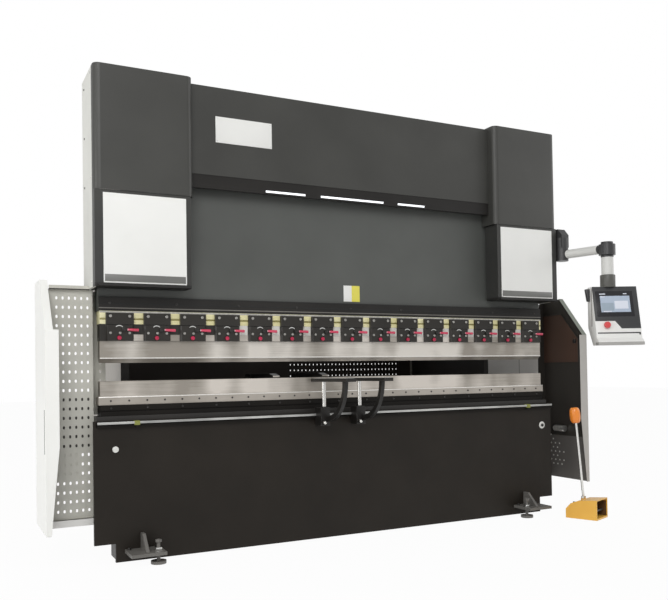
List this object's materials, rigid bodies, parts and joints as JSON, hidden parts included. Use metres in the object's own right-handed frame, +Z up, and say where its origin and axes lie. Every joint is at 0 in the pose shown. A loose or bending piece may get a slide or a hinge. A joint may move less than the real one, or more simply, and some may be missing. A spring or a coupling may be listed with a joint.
{
  "type": "cnc hydraulic press brake",
  "caption": "Free-standing hydraulic press brake: a long ram lowers a clamped punch onto a vee die, with a back gauge, sheet supports, side guards, pendant and foot pedal.",
  "frame": {"origin": "on the floor, at mid length and on the base tie's centre line", "axes": "+X along the bending length to the machine's right, -Y out of the front, +Z up"},
  "size_m": [3.7378, 2.2163, 2.695],
  "materials": {
    "dark_paint": "satin",
    "apron_paint": "satin",
    "ram_paint": "satin",
    "white_paint": "satin",
    "pale_paint": "satin",
    "tool_steel": "ground",
    "black_steel": "satin",
    "wedge_paint": "satin",
    "pedal_plastic": "gloss",
    "cap_plastic": "gloss",
    "grey_steel": "satin",
    "window_plastic": "gloss"
  },
  "bodies": {
    "frame": {"base_tie": "black_steel", "beam_cover": "dark_paint", "bed": "black_steel", "crowning_table": "black_steel", "die": "tool_steel", "die_rail": "tool_steel", "front_apron": "apron_paint", "left_cylinder": "grey_steel", "left_front_foot": "apron_paint", "left_guard": "pale_paint", "left_guard_panel": "pale_paint", "left_lower_cover": "dark_paint", "left_side_frame": "black_steel", "left_side_panel": "pale_paint", "left_tower_cover": "dark_paint", "left_tower_plate": "white_paint", "light_strip": "black_steel", "oil_tank": "dark_paint", "pedal_cap": "cap_plastic", "pedal_hood": "pedal_plastic", "pedal_rod": "grey_steel", "pendant_bracket": "dark_paint", "rear_crossbeam": "black_steel", "rear_guard": "pale_paint", "right_cylinder": "grey_steel", "right_front_foot": "apron_paint", "right_guard": "pale_paint", "right_guard_panel": "pale_paint", "right_guard_window": "window_plastic", "right_lower_cover": "dark_paint", "right_side_frame": "black_steel", "right_side_panel": "pale_paint", "right_tower_cover": "dark_paint", "right_tower_plate": "white_paint", "support_rail": "tool_steel"},
    "ram": {"ram": "ram_paint", "ram_band": "ram_paint", "wedge_bar": "wedge_paint", "clamp_row": "black_steel", "punch": "tool_steel"},
    "gauge": {"gauge_beam": "black_steel"},
    "finger_left": {"gauge_finger_left": "black_steel"},
    "finger_right": {"gauge_finger_right": "black_steel"},
    "support_left": {"support_bracket_left": "black_steel", "support_arm_left": "black_steel"},
    "support_right": {"support_bracket_right": "black_steel", "support_arm_right": "black_steel"},
    "arm": {"pendant_arm": "pale_paint", "pendant_drop": "pale_paint"},
    "pendant": {"pendant_panel": "white_paint"},
    "treadle": {"pedal_treadle": "black_steel"}
  },
  "joints": [
    {"name": "ram_slide", "type": "slide", "parent": "frame", "child": "ram", "axis": [0, 0, 1], "range_m": [-0.095, 0.1]},
    {"name": "gauge_slide", "type": "slide", "parent": "frame", "child": "gauge", "axis": [0, 1, 0], "range_m": [-0.01, 0.45]},
    {"name": "finger_left_slide", "type": "slide", "parent": "gauge", "child": "finger_left", "axis": [1, 0, 0], "range_m": [-0.12, 0.12]},
    {"name": "finger_right_slide", "type": "slide", "parent": "gauge", "child": "finger_right", "axis": [1, 0, 0], "range_m": [-0.12, 0.12]},
    {"name": "support_left_slide", "type": "slide", "parent": "frame", "child": "support_left", "axis": [1, 0, 0], "range_m": [-0.85, 0.07]},
    {"name": "support_right_slide", "type": "slide", "parent": "frame", "child": "support_right", "axis": [1, 0, 0], "range_m": [-0.07, 0.85]},
    {"name": "arm_swivel", "type": "hinge", "parent": "frame", "child": "arm", "pos_m": [1.652, -0.9, 1.835], "axis": [0, 0, 1], "range_deg": [-50, 30]},
    {"name": "pendant_swivel", "type": "hinge", "parent": "arm", "child": "pendant", "pos_m": [1.735, -1.24, 1.7], "axis": [0, 0, 1], "range_deg": [-60, 60]},
    {"name": "treadle_press", "type": "hinge", "parent": "frame", "child": "treadle", "pos_m": [1.58415, -1.02627, 0.032], "axis": [0.9272, 0.3746, 0], "range_deg": [0, 8], "stiffness_Nm_per_rad": 8, "springref_deg": -17.19}
  ]
}
